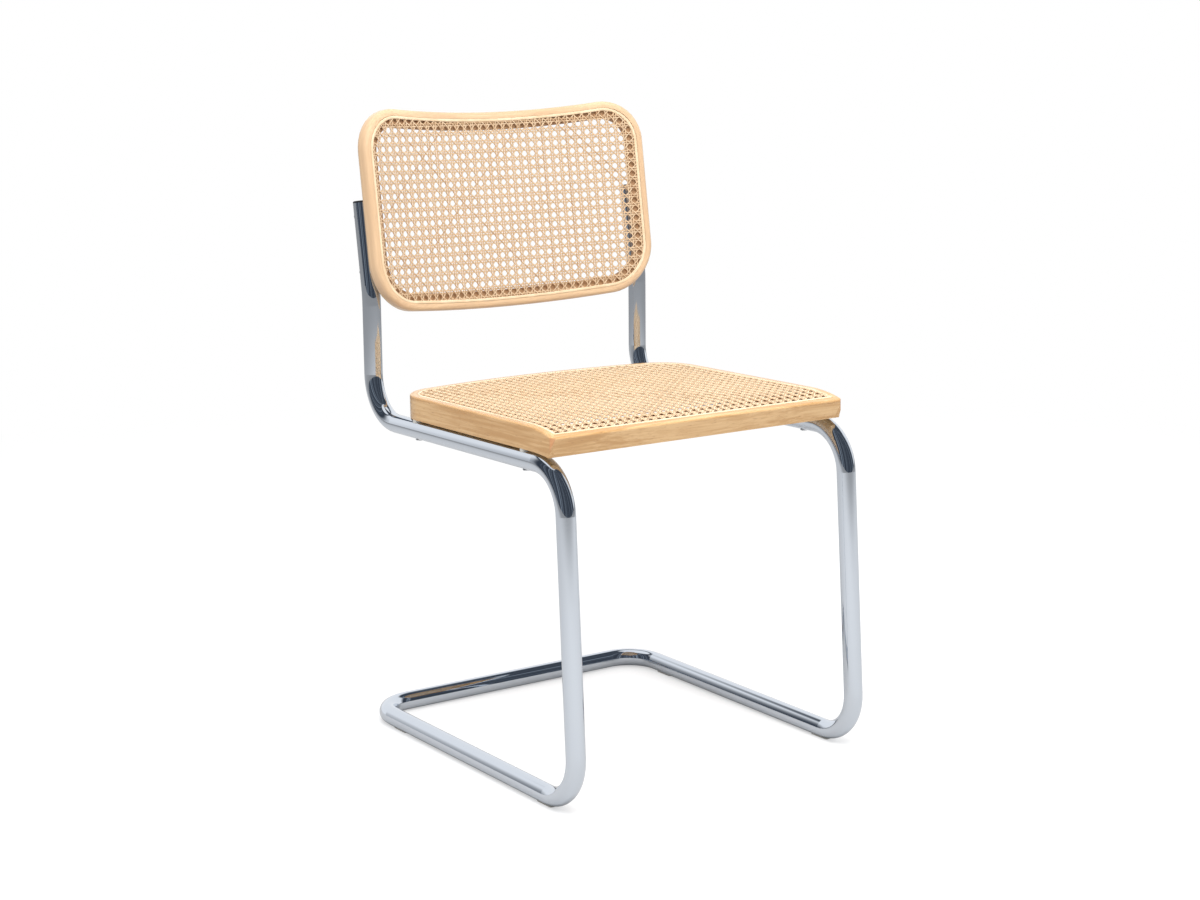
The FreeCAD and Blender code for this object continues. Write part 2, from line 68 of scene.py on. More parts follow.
# Back, as the solids have it, but 1 mm less high, so that its rounded rims stay within their box
BACK_MIDDLE = Vector((0, 0.24877, 0.70896))
BACK_LEAN = math.radians(8.5)
BACK_CURVE_R = 0.750
BACK_HALF = 0.2295
BACK_T = 0.019
BACK_H = 0.275
BACK_CORNER_R = 0.065
BACK_TOP_DIP = 0.0135
BACK_LOW_DIP = 0.0105
BACK_RAIL = 0.024
BACK_ROUND = 0.0062
WINDOW_ROUND = 0.0025

# Groove, reed and rebate of both panels
RIM = 0.0095
GROOVE = 0.0045
GROOVE_DEPTH = 0.006
BED_SINK = 0.0045
REBATE = 0.0018
REED_FIT = 0.00015
REED_ROUND = 0.0013
REED_PROUD = 0.0004
OUTLINE_STEP = 0.012
ROUND_STEPS = 5
SMOOTH_ANGLE = math.radians(32)
SEAT_CORNER_STEPS = 9
BACK_CORNER_STEPS = 10
CUT_CLOSE = 1e-7
PLATE_CLOSE = 1e-6
LEVEL_CLOSE = 1e-5
LEVEL_FACE = 0.9
UPRIGHT_FACE = 0.5

# Woven cane: pairs both ways and single diagonals, with an octagonal hole in each cell
PITCH = 0.0127
PAIR_SHARE = 0.120
PAIR = PAIR_SHARE * PITCH
STRAND_W = 0.0020
STRAND_SIDES = 6
STRAND_EDGE = 0.4 * STRAND_W
# A strand's thickness, how far pairs and diagonals rise, and how dark the painted shade on its edges is
CaneSize = namedtuple("CaneSize", "thickness pair_rise bias_rise browned")
BACK_STRAND = CaneSize(thickness=0.00085, pair_rise=0.00037, bias_rise=0.00072, browned=1.0)
SEAT_STRAND = CaneSize(thickness=0.00125, pair_rise=0.00052, bias_rise=0.00100, browned=0.5)
# Where a strand crosses others, as shares of the pitch counted from the middle of a hole's side
CROSSINGS = (-PAIR_SHARE, PAIR_SHARE, 0.5 - PAIR_SHARE, 0.5 + PAIR_SHARE)
TUCK = 0.0009
WEAVE_EDGE = RIM + GROOVE - TUCK
SEAT_FIRST_ROW = 0.0150
BACK_ROW_SHIFT = 0.0

# Studio floor: how it takes shadow and glows for the camera, and how pale it is in reflections, near and far
FLOOR_HALF = 30.0
FLOOR_SHADE = 0.50
FLOOR_GLOW = 0.50
CLEAR_NEAR = 0.9
CLEAR_FAR = 2.6
PAPER = 0.53
PAPER_NEAR = 2.0
PAPER_FAR = 4.2
PAPER_DIM = 0.37

# Studio room: its light from the side and from above, and what the chrome sees, with where each part fades
LEVEL_LIGHT = (0.53, 0.53, 0.54, 1)
TOP_LIGHT = (1.02, 1.02, 1.03, 1)
STUDIO_DARK = (0.045, 0.055, 0.072, 1)
STUDIO_STREAK = (0.26, 0.30, 0.35, 1)
STUDIO_WHITE = (0.95, 0.96, 0.98, 1)
BACKDROP_SIDE = (0.20, 0.50)
BACKDROP_TOP = (0.60, 0.70)
SOFTBOX_AIM = (0.0, 0.35, 0.937)
SOFTBOX_EDGE = (0.90, 0.935)
LEVEL_TO_TOP = (-0.1, 0.9)
STREAK_NOISE = (5.0, 3.0, 0.6)
STREAK_EDGE = (0.50, 0.66)
# Lamps: place, aim, size in metres and power in watts
KEY_LAMP = ((-0.9, -1.5, 3.0), (0, 0, 0.4), 2.2, 88)
FILL_LAMP = ((2.4, -1.6, 2.2), (0, 0, 0.5), 2.0, 25)

# Colours
BEECH_LIGHT = (0.79, 0.515, 0.25, 1)
BEECH_DARK = (0.58, 0.32, 0.12, 1)
BEECH_FLECK = (0.40, 0.18, 0.07, 1)
BEECH_PALE = (0.82, 0.64, 0.47, 1)
BACK_ASHEN = 0.45
# Browns under the cane: painted shade on the seat's rails and on the back's bed
BED_SHADE_BROWN = (0.20, 0.085, 0.035, 1)
BED_SHADE_PALE = (0.46, 0.26, 0.13, 1)
BED_SHADE_DEEP = (0.62, 0.39, 0.22, 1)
CORNER_RED = (0.58, 0.25, 0.12, 1)
CANE_LIGHT = (0.90, 0.74, 0.51, 1)
CANE_DEEP = (0.82, 0.61, 0.38, 1)
# Dark brown on the strands' edges: painted shade between neighbouring strands
CANE_EDGE_SHADE = (0.36, 0.17, 0.07, 1)
CANE_BROWN = (0.40, 0.25, 0.13, 1)
REED_PALE = (0.90, 0.73, 0.51, 1)
REED_DEEP = (0.80, 0.60, 0.38, 1)
REED_FIBRE = (0.64, 0.43, 0.24, 1)
CHROME = (0.70, 0.745, 0.805, 1)
ZINC = (0.78, 0.79, 0.81, 1)
PLUG_BLACK = (0.012, 0.012, 0.014, 1)
NYLON = (0.62, 0.60, 0.55, 1)

# Marks on the seat's rails: how deep the painted shade under the cane starts and ends, and the reddish bevel
BED_TOP = 0.0011
BED_DEEP = 0.016
BED_FADE = 0.002
MASK_SOFT = 0.0002
RIM_SOFT = 0.0003
CHAMFER = 0.005
LINE_HALF = 0.0013
CORNER_SHARE = 0.6

# Wood grain: how each noise is drawn out, its scale, detail and roughness, and the stretch of it that shows
GRAIN_STRETCH = (1.2, 26.0, 26.0)
BROAD_NOISE = (2.2, 3.0, 0.55)
STRIPE_NOISE = (11.0, 4.0, 0.6)
BROAD_SHARE = 0.55
TONE_RANGE = (0.41, 0.60)
PORE_STRETCH = (9.0, 420.0, 420.0)
PORE_NOISE = (1.0, 3.0, 0.6)
PORE_TINT = (0.42, 0.7, 0.0, 0.5)
FLECK_STRETCH = (90.0, 900.0, 900.0)
FLECK_NOISE = (1.0, 1.0, 0.5)
FLECK_RANGE = (0.64, 0.74)
FLECK_TINT = 0.5
FLECK_DEPTH = 0.6
GRAIN_BUMP = (0.12, 0.0003)

# Other textures: each noise, what a stretch of it becomes, and each bump's strength and height
HAZE_NOISE = (30.0, 3.0, 0.6)
HAZE_ROUGHNESS = (0.35, 0.75, 0.035, 0.075)
MOULD_NOISE = (900.0, 2.0, 0.5)
MOULD_RANGE = (0.3, 0.7)
MOULD_UNEVEN = 0.06
MOULD_BUMP = (0.1, 0.0001)
SCRATCH_NOISE = (700.0, 3.0, 0.6)
SCRATCH_ROUGHNESS = (0.3, 0.7, 0.12, 0.22)
CANE_ACROSS = 1800
CANE_ALONG = 60
CANE_SLANTED = 500
CANE_NOISE = (1.0, 3.0, 0.6)
CANE_LINE_TINT = (0.45, 0.75, 0.0, 0.35)
CANE_ROUGHNESS = (0.3, 0.7, 0.36, 0.52)
CANE_BUMP = (0.15, 0.0002)
BLOTCH_NOISE = (60.0, 2.0, 0.5)
BLOTCH_TINT = (0.62, 0.78, 0.0, 0.4)
BROWN_STRAND_TINT = (0.02, 0.05, 0.45, 0.0)
EDGE_SHADE_TINT = (0.0, 1.0, 0.0, 0.9)
BED_BLOTCH_NOISE = (120.0, 3.0, 0.6)
BED_BLOTCH_BUMP = (0.2, 0.0003)
FIBRE_NOISE = (1400.0, 2.0, 0.6)
FIBRE_TINT = (0.45, 0.75, 0.0, 0.35)
FIBRE_BUMP = (0.2, 0.0002)
REED_NOISE = (45.0, 2.0, 0.5)
REED_RANGE = (0.3, 0.7)
PLUG_ROUGHNESS = 0.4
NYLON_ROUGHNESS = 0.45

TONE_SEED = 7
random.seed(TONE_SEED)


# Shader helpers
def new_material(name):
    # A material with nothing in it yet but the object's own coordinates
    material = bpy.data.materials.new(name)
    material.use_nodes = True
    tree = material.node_tree
    tree.nodes.clear()
    return material, tree, node(tree, "ShaderNodeTexCoord").outputs["Object"]


def node(tree, kind, values=None, **settings):
    made = tree.nodes.new(kind)
    for key, value in settings.items():
        setattr(made, key, value)
    for key, value in (values or {}).items():
        made.inputs[key].default_value = value
    return made


def link(tree, source, target):
    tree.links.new(source, target)


def math_node(tree, operation, a, b=None):
    made = node(tree, "ShaderNodeMath", operation=operation)
    for index, value in enumerate((a, b)):
        if value is None:
            continue
        if isinstance(value, (int, float)):
            made.inputs[index].default_value = value
        else:
            link(tree, value, made.inputs[index])
    return made.outputs[0]


def map_range(tree, value, low, high, to_low=0.0, to_high=1.0):
    limits = {"From Min": low, "From Max": high, "To Min": to_low, "To Max": to_high}
    made = node(tree, "ShaderNodeMapRange", limits)
    made.interpolation_type = "SMOOTHSTEP"
    link(tree, value, made.inputs["Value"])
    return made.outputs["Result"]


def mix_colour(tree, factor, a, b):
    made = node(tree, "ShaderNodeMix", data_type="RGBA")
    for key, value in (("Factor", factor), ("A", a), ("B", b)):
        socket = next(s for s in made.inputs if s.name == key and (key == "Factor" or s.type == "RGBA"))
        if isinstance(value, (int, float, tuple)):
            socket.default_value = value
        else:
            link(tree, value, socket)
    return next(s for s in made.outputs if s.type == "RGBA")


def noise(tree, vector, scale, detail, roughness):
    made = node(tree, "ShaderNodeTexNoise", {"Scale": scale, "Detail": detail, "Roughness": roughness})
    link(tree, vector, made.inputs["Vector"])
    return made.outputs["Fac"]


def bump(tree, height, strength, distance):
    made = node(tree, "ShaderNodeBump", {"Strength": strength, "Distance": distance})
    link(tree, height, made.inputs["Height"])
    return made.outputs["Normal"]


def principled(tree, **values):
    made = node(tree, "ShaderNodeBsdfPrincipled", values)
    output = node(tree, "ShaderNodeOutputMaterial")
    link(tree, made.outputs["BSDF"], output.inputs["Surface"])
    return made


def new_group(name, inputs, outputs):
    group = bpy.data.node_groups.new(name, "ShaderNodeTree")
    for way, sockets in (("INPUT", inputs), ("OUTPUT", outputs)):
        for title, kind in sockets:
            group.interface.new_socket(title, in_out=way, socket_type=kind)
    return group, group.nodes.new("NodeGroupInput"), group.nodes.new("NodeGroupOutput")


def drawn_out(tree, vector, scale):
    made = node(tree, "ShaderNodeMapping", {"Scale": scale})
    link(tree, vector, made.inputs["Vector"])
    return made.outputs["Vector"]


def parted(tree, vector):
    made = node(tree, "ShaderNodeSeparateXYZ")
    link(tree, vector, made.inputs["Vector"])
    return made.outputs


def joined(tree, x, y, z):
    made = node(tree, "ShaderNodeCombineXYZ")
    for key, value in (("X", x), ("Y", y), ("Z", z)):
        link(tree, value, made.inputs[key])
    return made.outputs["Vector"]


# Wood grain: fine pores and flecks drawn out along the first axis of the given coordinates
def make_grain_group():
    group, start, end = new_group("wood_grain", [("Vector", "NodeSocketVector")],
                                  [("Color", "NodeSocketColor"), ("Height", "NodeSocketFloat")])
    place = start.outputs["Vector"]
    grain = drawn_out(group, place, GRAIN_STRETCH)
    broad = noise(group, grain, *BROAD_NOISE)
    stripes = noise(group, grain, *STRIPE_NOISE)
    fine = noise(group, drawn_out(group, place, PORE_STRETCH), *PORE_NOISE)
    fleck_noise = noise(group, drawn_out(group, place, FLECK_STRETCH), *FLECK_NOISE)
    fleck = map_range(group, fleck_noise, *FLECK_RANGE)
    blend = math_node(group, "ADD", math_node(group, "MULTIPLY", broad, BROAD_SHARE),
                      math_node(group, "MULTIPLY", stripes, 1 - BROAD_SHARE))
    base = mix_colour(group, map_range(group, blend, *TONE_RANGE), BEECH_DARK, BEECH_LIGHT)
    base = mix_colour(group, map_range(group, fine, *PORE_TINT), base, BEECH_DARK)
    base = mix_colour(group, math_node(group, "MULTIPLY", fleck, FLECK_TINT), base, BEECH_FLECK)
    link(group, base, end.inputs["Color"])
    height = math_node(group, "SUBTRACT", fine, math_node(group, "MULTIPLY", fleck, FLECK_DEPTH))
    link(group, height, end.inputs["Height"])
    return group


# Coordinates along and across a rail that bends round a rounded rectangle
def make_rail_group():
    group, start, end = new_group(
        "rail_course",
        [("Vector", "NodeSocketVector"), ("Half", "NodeSocketVector"), ("Corner", "NodeSocketFloat")],
        [("Vector", "NodeSocketVector")])
    split = parted(group, start.outputs["Vector"])
    half = parted(group, start.outputs["Half"])
    radius = start.outputs["Corner"]
    # How far a place lies beyond the middle of its nearest corner's arc, in x and in y
    past_x, past_y = [
        math_node(group, "SUBTRACT", math_node(group, "ABSOLUTE", split[key]),
                  math_node(group, "SUBTRACT", half[key], radius))
        for key in ("X", "Y")]
    squares = []
    for past in (past_x, past_y):
        beyond = math_node(group, "MAXIMUM", past, 0.0)
        squares.append(math_node(group, "MULTIPLY", beyond, beyond))
    corner = math_node(group, "SQRT", math_node(group, "ADD", *squares))
    inside = math_node(group, "MINIMUM", math_node(group, "MAXIMUM", past_x, past_y), 0.0)
    distance = math_node(group, "ADD", corner, inside)
    # Along the rail: x on the cross rails and y on the side rails, run together round the corner
    along = math_node(group, "SUBTRACT", math_node(group, "MINIMUM", past_x, radius),
                      math_node(group, "MINIMUM", past_y, radius))
    link(group, joined(group, along, distance, split["Z"]), end.inputs["Vector"])
    return group


WOOD_GRAIN = make_grain_group()
RAIL_COURSE = make_rail_group()


def bed_shade_mask(tree, inset, height):
    # Where the rail lies under the cane and takes painted shade: inside the groove and below the rim, but
    # not far down
    inside = map_range(tree, inset, RIM + GROOVE - MASK_SOFT, RIM + GROOVE + MASK_SOFT)
    upper = map_range(tree, height, -BED_DEEP - BED_FADE, -BED_DEEP)
    below = map_range(tree, height, -BED_TOP, -BED_TOP + RIM_SOFT, 1.0, 0.0)
    return math_node(tree, "MULTIPLY", math_node(tree, "MULTIPLY", inside, upper), below)


def line_mask(tree, value, place):
    # A thin line where a value passes a place
    away = math_node(tree, "ABSOLUTE", math_node(tree, "SUBTRACT", value, place))
    return math_node(tree, "SUBTRACT", 1.0, map_range(tree, away, 0.0, LINE_HALF))


def unbowed(tree, split):
    # Takes the bow off the seat's rear edge, so that the rail's course is straight there.
    share = math_node(tree, "DIVIDE", split["X"], SEAT_HALF - SEAT_CORNER_R)
    bow = math_node(tree, "MINIMUM", math_node(tree, "MULTIPLY", share, share), 1.0)
    deep = math_node(tree, "ADD", split["Y"], math_node(tree, "MULTIPLY", bow, SEAT_BOW))
    return joined(tree, split["X"], deep, split["Z"])


def seat_inset(tree, split, vector, course):
    # How far in from the seat's outline a place lies, on the bent rail or on the front one
    if course:
        return math_node(tree, "SUBTRACT", SEAT_CORNER_R, parted(tree, vector)["Y"])
    from_side = math_node(tree, "SUBTRACT", SEAT_HALF, math_node(tree, "ABSOLUTE", split["X"]))
    return math_node(tree, "MINIMUM", split["Y"], from_side)


def shaded_bed_and_red_bevel(tree, colour, split, inset):
    # Painted shade in dark brown where the cane lies over a seat rail, and reddish on the bevelled front
    # corners
    colour = mix_colour(tree, bed_shade_mask(tree, inset, split["Z"]), colour, BED_SHADE_BROWN)
    width = math_node(tree, "ABSOLUTE", split["X"])
    corner = line_mask(tree, math_node(tree, "SUBTRACT", width, split["Y"]), SEAT_HALF - CHAMFER)
    return mix_colour(tree, math_node(tree, "MULTIPLY", corner, CORNER_SHARE), colour, CORNER_RED)


def wood(name, centre, turn=(0, 0, 0), course=None, ashen=0, seat_rail=False):
    # Lacquered beech. The course gives half sizes and corner radius where the rail is bent.
    material, tree, place = new_material(name)
    centred = node(tree, "ShaderNodeMapping", {"Location": tuple(centre), "Rotation": turn},
                   vector_type="TEXTURE")
    link(tree, place, centred.inputs["Vector"])
    vector = centred.outputs["Vector"]
    split = parted(tree, vector)
    if seat_rail:
        vector = unbowed(tree, split)
    if course:
        half, corner_r = course
        rail = node(tree, "ShaderNodeGroup", {"Half": half, "Corner": corner_r}, node_tree=RAIL_COURSE)
        link(tree, vector, rail.inputs["Vector"])
        vector = rail.outputs["Vector"]
    grain = node(tree, "ShaderNodeGroup", node_tree=WOOD_GRAIN)
    link(tree, vector, grain.inputs["Vector"])
    colour = grain.outputs["Color"]
    if ashen:
        colour = mix_colour(tree, ashen, colour, BEECH_PALE)
    # On the seat's rails: painted shade under the cane, and a reddish bevel
    if seat_rail:
        colour = shaded_bed_and_red_bevel(tree, colour, split, seat_inset(tree, split, vector, course))
    shader = principled(tree, **{"Roughness": 0.40, "Coat Weight": 0.6, "Coat Roughness": 0.20,
                                 "Specular IOR Level": 0.4})
    link(tree, colour, shader.inputs["Base Color"])
    link(tree, bump(tree, grain.outputs["Height"], *GRAIN_BUMP), shader.inputs["Normal"])
    return material


def chrome(name):
    # Polished plate with faint wipe marks
    material, tree, place = new_material(name)
    haze = noise(tree, place, *HAZE_NOISE)
    shader = principled(tree, **{"Base Color": CHROME, "Metallic": 1.0})
    link(tree, map_range(tree, haze, *HAZE_ROUGHNESS), shader.inputs["Roughness"])
    return material


def plastic(name, colour, roughness):
    # Moulded, with a fine grain
    material, tree, place = new_material(name)
    grain = noise(tree, place, *MOULD_NOISE)
    shader = principled(tree, **{"Base Color": colour})
    uneven = map_range(tree, grain, *MOULD_RANGE, roughness - MOULD_UNEVEN, roughness + MOULD_UNEVEN)
    link(tree, uneven, shader.inputs["Roughness"])
    link(tree, bump(tree, grain, *MOULD_BUMP), shader.inputs["Normal"])
    return material


def screw_steel(name):
    # Zinc plate with fine scratches
    material, tree, place = new_material(name)
    scratch = noise(tree, place, *SCRATCH_NOISE)
    shader = principled(tree, **{"Base Color": ZINC, "Metallic": 1.0})
    link(tree, map_range(tree, scratch, *SCRATCH_ROUGHNESS), shader.inputs["Roughness"])
    return material


def cane(name, stretch):
    # Split cane: each strand has its own tone, painted shade along its edges, fine lines along it and darker
    # growth joints
    material, tree, place = new_material(name)
    tone = node(tree, "ShaderNodeAttribute", attribute_name="tone")
    edge = node(tree, "ShaderNodeAttribute", attribute_name="edge")
    lines = noise(tree, drawn_out(tree, place, stretch), *CANE_NOISE)
    blotch = noise(tree, place, *BLOTCH_NOISE)
    base = mix_colour(tree, tone.outputs["Fac"], CANE_DEEP, CANE_LIGHT)
    base = mix_colour(tree, map_range(tree, lines, *CANE_LINE_TINT), base, CANE_DEEP)
    base = mix_colour(tree, map_range(tree, blotch, *BLOTCH_TINT), base, CANE_BROWN)
    # A few strands are brown all along
    brown = map_range(tree, tone.outputs["Fac"], *BROWN_STRAND_TINT)
    base = mix_colour(tree, brown, base, CANE_BROWN)
    # Painted shade along each strand's edges, where it meets its neighbours
    base = mix_colour(tree, map_range(tree, edge.outputs["Fac"], *EDGE_SHADE_TINT), base, CANE_EDGE_SHADE)
    shader = principled(tree, **{"Specular IOR Level": 0.5, "Coat Weight": 0.3, "Coat Roughness": 0.3})
    link(tree, base, shader.inputs["Base Color"])
    link(tree, map_range(tree, lines, *CANE_ROUGHNESS), shader.inputs["Roughness"])
    link(tree, bump(tree, lines, *CANE_BUMP), shader.inputs["Normal"])
    return material


def shaded_bed_wood(name):
    # The rail under the cane, never lacquered; its browns are painted shade
    material, tree, place = new_material(name)
    bed_blotch = noise(tree, place, *BED_BLOTCH_NOISE)
    shader = principled(tree, **{"Roughness": 0.8})
    link(tree, mix_colour(tree, bed_blotch, BED_SHADE_PALE, BED_SHADE_DEEP), shader.inputs["Base Color"])
    link(tree, bump(tree, bed_blotch, *BED_BLOTCH_BUMP), shader.inputs["Normal"])
    return material


def reed(name):
    # Split reed, pale with short fibres
    material, tree, place = new_material(name)
    fibre = noise(tree, place, *FIBRE_NOISE)
    slow = noise(tree, place, *REED_NOISE)
    base = mix_colour(tree, map_range(tree, slow, *REED_RANGE), REED_DEEP, REED_PALE)
    base = mix_colour(tree, map_range(tree, fibre, *FIBRE_TINT), base, REED_FIBRE)
    shader = principled(tree, **{"Roughness": 0.45, "Coat Weight": 0.3, "Coat Roughness": 0.25})
    link(tree, base, shader.inputs["Base Color"])
    link(tree, bump(tree, fibre, *FIBRE_BUMP), shader.inputs["Normal"])
    return material


def dress(name, material):
    slots = NODES[name].data.materials
    slots.clear()
    slots.append(material)


# Outlines, as the planes that a convex flat panel is trimmed to: each a point and an outward direction
def arc_planes(centre, radius, start, end, count):
    planes = []
    for step in range(count):
        turn = start + (end - start) * (step + 0.5) / count
        outward = Vector((math.cos(turn), math.sin(turn), 0))
        planes.append((centre + outward * radius, outward))
    return planes


def seat_planes(inset):
    # The seat's outline from its front edge, square in front and rounded behind
    corner_r = SEAT_CORNER_R - inset
    half = SEAT_HALF - inset
    flat_half = SEAT_HALF - SEAT_CORNER_R
    rear_r = (flat_half ** 2 + SEAT_BOW ** 2) / (2 * SEAT_BOW) - inset
    rear_centre = Vector((0, SEAT_D - inset - rear_r, 0))
    corner_x = half - corner_r
    corner_y = rear_centre.y + math.sqrt((rear_r - corner_r) ** 2 - corner_x ** 2)
    planes = [(Vector((0, inset, 0)), Vector((0, -1, 0)))]
    spread = math.atan2(corner_x, corner_y - rear_centre.y)
    for side in (-1, 1):
        planes.append((Vector((side * half, 0, 0)), Vector((side, 0, 0))))
        corner = Vector((side * corner_x, corner_y, 0))
        start = 0 if side > 0 else math.pi
        end = math.pi / 2 - side * spread
        planes += arc_planes(corner, corner_r, start, end, SEAT_CORNER_STEPS)
    planes += arc_planes(rear_centre, rear_r, math.pi / 2 - spread, math.pi / 2 + spread, SEAT_CORNER_STEPS)
    return planes


def back_planes(inset):
    # The back's outline unrolled flat, once its bowed top and bottom are drawn straight
    half = BACK_ARC - inset
    top = BACK_H / 2 - inset
    corner_r = BACK_CORNER_R - inset
    planes = [(Vector((0, side * top, 0)), Vector((0, side, 0))) for side in (-1, 1)]
    for side in (-1, 1):
        planes.append((Vector((side * half, 0, 0)), Vector((side, 0, 0))))
        for level in (-1, 1):
            corner = Vector((side * (half - corner_r), level * (top - corner_r), 0))
            start = 0 if side > 0 else math.pi
            end = level * math.pi / 2 if side > 0 else math.pi - level * math.pi / 2
            planes += arc_planes(corner, corner_r, start, end, BACK_CORNER_STEPS)
    return planes


def dipped(field, direction):
    # Lets the back's straight edges dip towards the middle, or draws them straight again.
    mean = (BACK_TOP_DIP + BACK_LOW_DIP) / 2
    growth = (BACK_TOP_DIP - BACK_LOW_DIP) / BACK_H
    for vert in field.verts:
        share = 1 - (vert.co.x / BACK_ARC) ** 2
        if direction > 0:
            vert.co.y = vert.co.y * (1 - growth * share) - mean * share
        else:
            vert.co.y = (vert.co.y + mean * share) / (1 - growth * share)


# Surfaces: a flat field, with its face at zero height, is laid on the seat or stood up as the back
DROP_R = (DROP_LEN ** 2 + FRONT_DROP ** 2) / (2 * FRONT_DROP)
FRONT_R = BACK_CURVE_R - BACK_T / 2
BACK_ARC = FRONT_R * math.asin(BACK_HALF / BACK_CURVE_R)
SEAT_PLACE = Matrix.Translation((0, SEAT_FRONT, SEAT_TOP)) @ Matrix.Rotation(-SEAT_TILT, 4, "X")
BACK_PLACE = Matrix.Translation(BACK_MIDDLE) @ Matrix.Rotation(-BACK_LEAN, 4, "X")


def lay_on_seat(field):
    # It rolls down towards the front edge, and the whole seat tilts.
    for vert in field.verts:
        run = DROP_LEN - vert.co.y
        if run > 0:
            turn = math.asin(run / DROP_R)
            reach = DROP_R + vert.co.z
            vert.co.y = DROP_LEN - reach * math.sin(turn)
            vert.co.z = reach * math.cos(turn) - DROP_R
        vert.co = SEAT_PLACE @ vert.co


def stand_as_back(field):
    # It bends round the sitter's back and leans.
    for vert in field.verts:
        turn = vert.co.x / FRONT_R
        reach = FRONT_R - vert.co.z
        local = Vector((reach * math.sin(turn), reach * math.cos(turn) - BACK_CURVE_R, vert.co.y))
        vert.co = BACK_PLACE @ local


# Strands
def strand(bm, thickness, rise_at, first, last, stretch):
    # Draws one strand along +Y from cell to cell, a flattened tube that bends at each crossing.
    verts = bmesh.ops.create_circle(bm, cap_ends=False, segments=STRAND_SIDES, radius=0.5)["verts"]
    upright = Matrix.Rotation(math.pi / 2, 4, "X")
    size = Matrix.Diagonal((STRAND_W, 1, thickness, 1))
    bmesh.ops.transform(bm, verts=verts, matrix=size @ upright)
    places = [(cell + share, rise) for cell in range(first, last) for share, rise in zip(CROSSINGS, rise_at)]
    here, height = places[0]
    bmesh.ops.translate(bm, verts=verts, vec=(0, here * PITCH * stretch, height))
    ring = list({edge for vert in verts for edge in vert.link_edges})
    for there, next_height in places[1:]:
        made = bmesh.ops.extrude_edge_only(bm, edges=ring)["geom"]
        verts = [item for item in made if isinstance(item, bmesh.types.BMVert)]
        ring = [item for item in made
                if isinstance(item, bmesh.types.BMEdge) and all(vert in verts for vert in item.verts)]
        bmesh.ops.translate(bm, verts=verts, vec=(0, (there - here) * PITCH * stretch, next_height - height))
        here, height = there, next_height


def strand_mesh(thickness, rise_at, first, last, stretch=1.0):
    # A strand to be laid many times
    bm = bmesh.new()
    strand(bm, thickness, rise_at, first, last, stretch)
    mesh = bpy.data.meshes.new("strand")
    bm.to_mesh(mesh)
    bm.free()
    return mesh


def lay(field, mesh, matrix, layers, browned):
    # Adds one strand to the field, with a tone of its own and its two edges marked for painted shade.
    before = len(field.verts)
    field.from_mesh(mesh)
    field.verts.ensure_lookup_table()
    added = field.verts[before:]
    tone = random.random()
    for vert in added:
        vert[layers[0]] = tone
        vert[layers[1]] = browned * (abs(vert.co.x) > STRAND_EDGE)
    bmesh.ops.transform(field, verts=added, matrix=matrix)


def trim(field, planes):
    # Cuts the field to a convex outline, and closes each strand's cut end.
    for point, outward in planes:
        outside = [face for face in field.faces
                   if any((vert.co - point).dot(outward) > 0 for vert in face.verts)]
        if not outside:
            continue
        verts = list({vert for face in outside for vert in face.verts})
        edges = list({edge for face in outside for edge in face.edges})
        bmesh.ops.bisect_plane(field, geom=verts + edges + outside, dist=CUT_CLOSE, plane_co=point,
                               plane_no=outward, clear_outer=True)
    open_ends = [edge for edge in field.edges if edge.is_boundary]
    bmesh.ops.holes_fill(field, edges=open_ends, sides=0)


def turned(x, y, angle):
    return Matrix.Translation((x, y, 0)) @ Matrix.Rotation(angle, 4, "Z")


def finished(name, field, material, bend):
    # Bends a field to its surface and makes it an object of its own.
    bend(field)
    bmesh.ops.recalc_face_normals(field, faces=field.faces)
    for face in field.faces:
        face.smooth = True
    mesh = bpy.data.meshes.new(name)
    field.to_mesh(mesh)
    field.free()
    mesh.set_sharp_from_angle(angle=SMOOTH_ANGLE)
    mesh.materials.append(material)
    piece = bpy.data.objects.new(name, mesh)
    bpy.context.scene.collection.objects.link(piece)
    return piece


def new_field():
    # A flat field for strands, with the layers for their tones and edges
    field = bmesh.new()
    return field, [field.verts.layers.float.new(title) for title in ("tone", "edge")]


def locked_pairs(lines, cells, phase, crosswise, cane_size):
    # Strands in pairs between the holes, upright or crosswise, which lock over and under each other
    field, layers = new_field()
    for side in (-1, 1):
        rise = (-side if crosswise else side) * cane_size.pair_rise
        mesh = strand_mesh(cane_size.thickness, (0, 0, -rise, rise), cells[0], cells[-1] + 1)
        for line in lines:
            offset = (line + 0.5) * PITCH + side * PAIR
            if crosswise:
                place = turned(phase.x, phase.y + offset, -math.pi / 2)
            else:
                place = turned(phase.x + offset, phase.y, 0)
            lay(field, mesh, place, layers, cane_size.browned)
    return field


def diagonals(columns, rows, phase, lean, reach, cane_size):
    # Single strands that cross at the middle of each side of a hole, over one pair and under the next
    field, layers = new_field()
    rise = -lean * cane_size.bias_rise
    first, last = columns[0], columns[-1] + 1
    mesh = strand_mesh(cane_size.thickness, (rise, rise, -rise, -rise), first, last, math.sqrt(2))
    angle = -math.pi / 4 if lean > 0 else -3 * math.pi / 4
    count = len(columns) + len(rows)
    for line in range(-count, count):
        shift = (line + 0.5) * PITCH
        ends = [shift + lean * cell * PITCH + phase.y for cell in (first, last)]
        if max(ends) >= reach[0] and min(ends) <= reach[1]:
            lay(field, mesh, turned(phase.x, phase.y + shift, angle), layers, cane_size.browned)
    return field


